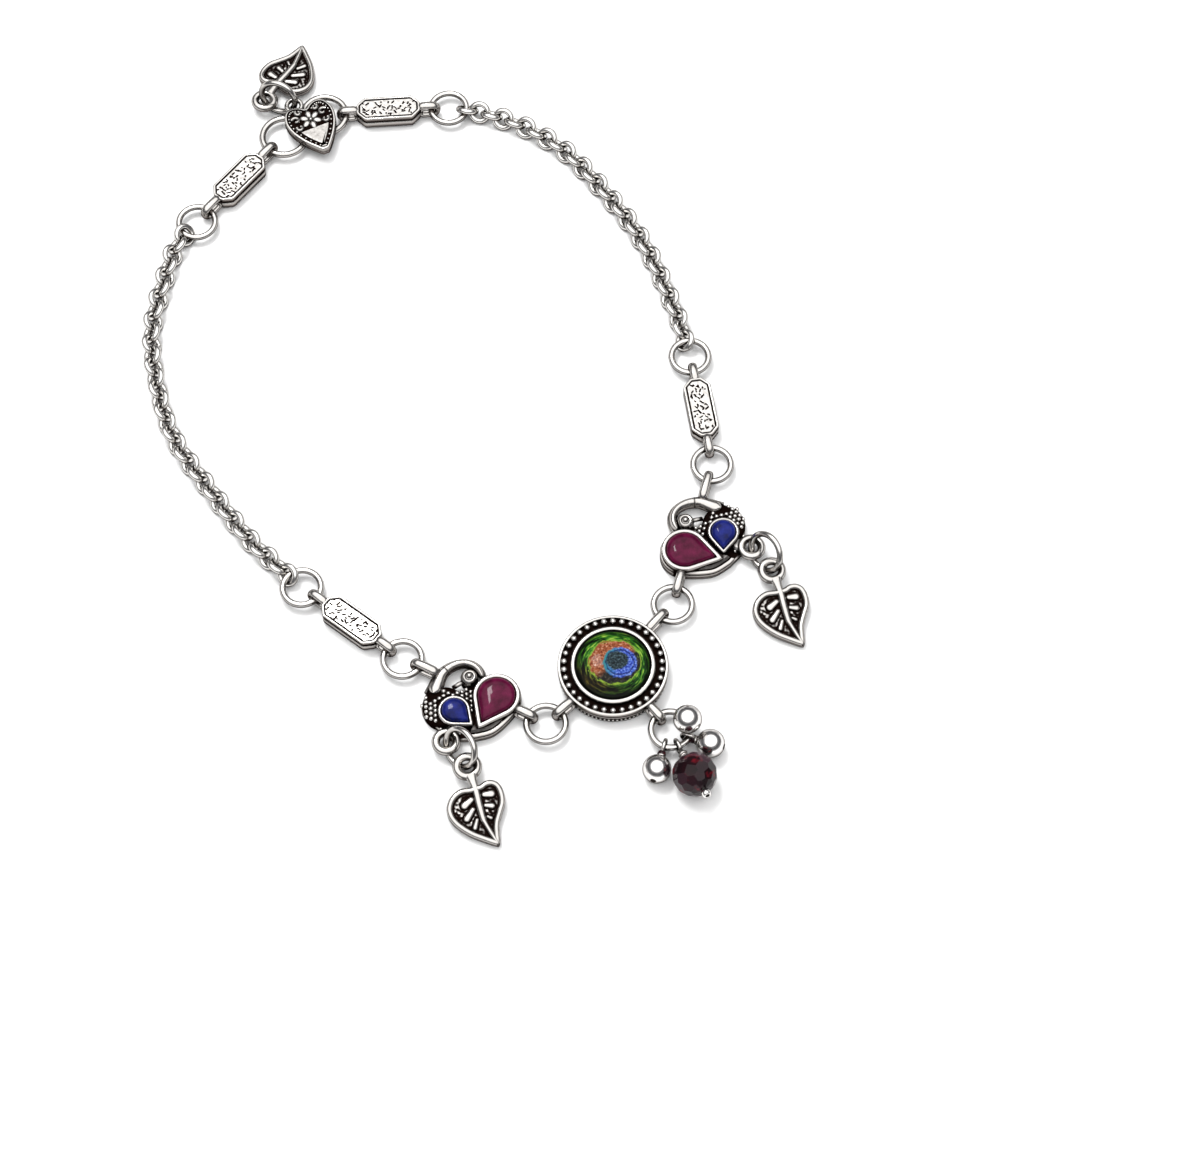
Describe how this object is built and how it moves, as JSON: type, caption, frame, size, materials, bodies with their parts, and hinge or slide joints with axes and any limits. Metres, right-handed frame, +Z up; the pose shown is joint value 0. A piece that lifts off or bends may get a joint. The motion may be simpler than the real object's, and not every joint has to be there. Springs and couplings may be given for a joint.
{
  "type": "anklet",
  "caption": "Payal anklet of oxidised silver: rolo chain, chased bars, a pair of peacock settings, a peacock-feather glass medallion, pipal leaf drops, a bead cluster and a heart clasp",
  "frame": {"origin": "middle of the medallion's flat underside, on the surface the anklet lies on", "axes": "+Z up from the surface it lies on, +Y across the loop from the medallion towards the clasp, +X towards the side of the right chain"},
  "size_m": [0.0938, 0.1289, 0.0062],
  "materials": {
    "bright_silver": "polished silver wire",
    "oxidised_silver": "cast silver, dark in the recesses",
    "feather_glass": "clear dome over painted feather",
    "magenta_stone": "polished cabochon",
    "blue_stone": "polished cabochon",
    "garnet": "faceted bead"
  },
  "bodies": {
    "root": {"chain_left": "bright_silver", "chain_right": "bright_silver", "ring_bar_top_left": "bright_silver", "ring_chain_left": "bright_silver", "ring_bar_left": "bright_silver", "ring_medallion_left": "bright_silver", "ring_medallion_right": "bright_silver", "ring_bar_right": "bright_silver", "ring_chain_right": "bright_silver", "ring_bar_top_right": "bright_silver", "ring_cluster": "bright_silver", "ring_leaf_left": "bright_silver", "ring_leaf_right": "bright_silver", "ring_clasp": "bright_silver", "bar_top_left": "oxidised_silver", "bar_top_right": "oxidised_silver", "bar_left": "oxidised_silver", "bar_right": "oxidised_silver", "medallion_setting": "oxidised_silver", "medallion_stone": "feather_glass", "peacock_left_setting": "oxidised_silver", "peacock_left_magenta_stone": "magenta_stone", "peacock_left_blue_stone": "blue_stone", "peacock_right_setting": "oxidised_silver", "peacock_right_magenta_stone": "magenta_stone", "peacock_right_blue_stone": "blue_stone", "leaf_left": "oxidised_silver", "leaf_right": "oxidised_silver", "leaf_clasp": "oxidised_silver", "clasp_body": "oxidised_silver", "ball_lower": "bright_silver", "ball_outer": "bright_silver", "ball_upper": "bright_silver", "garnet_bead": "garnet", "garnet_pin": "bright_silver"}
  },
  "joints": []
}
